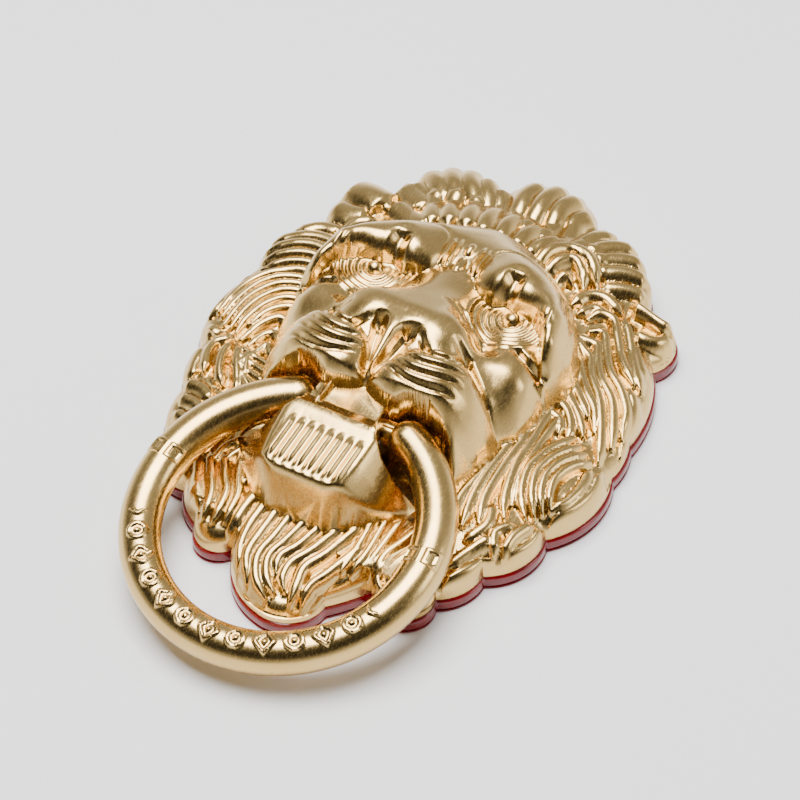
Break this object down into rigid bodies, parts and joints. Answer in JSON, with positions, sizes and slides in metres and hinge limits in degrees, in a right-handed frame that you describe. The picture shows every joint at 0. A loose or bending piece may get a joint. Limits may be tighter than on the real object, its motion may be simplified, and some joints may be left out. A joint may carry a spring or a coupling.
{
  "type": "door knocker",
  "caption": "Cast lion-mask door knocker with a swinging ring held at the mouth corners, on a self-adhesive back.",
  "frame": {"origin": "back face of the release liner, where the knocker lies on the door or table, under the middle of the mask's width and of its 112 mm nominal height", "axes": "+Z out of the door, through the lion's nose; +Y to the top of the head; +X to the right of someone facing the lion"},
  "size_m": [0.0808, 0.1259, 0.0262],
  "materials": {
    "gold_casting": "satin",
    "gold_ring": "satin",
    "clamp_zinc": "satin",
    "plated_steel": "satin",
    "plate_steel": "satin",
    "red_adhesive": "gloss",
    "red_film": "gloss"
  },
  "bodies": {
    "mask": {"lion_mask": "gold_casting", "pivot_clamp": "clamp_zinc", "clamp_screws": "plated_steel", "back_plate": "plate_steel", "back_plate_screws": "plated_steel", "adhesive_pad": "red_adhesive", "release_liner": "red_film"},
    "ring": {"knocker_ring": "gold_ring"}
  },
  "joints": [
    {"name": "ring_hinge", "type": "hinge", "parent": "mask", "child": "ring", "pos_m": [0, -0.0208, 0.0154], "axis": [-1, 0, 0], "range_deg": [0, 75]}
  ]
}
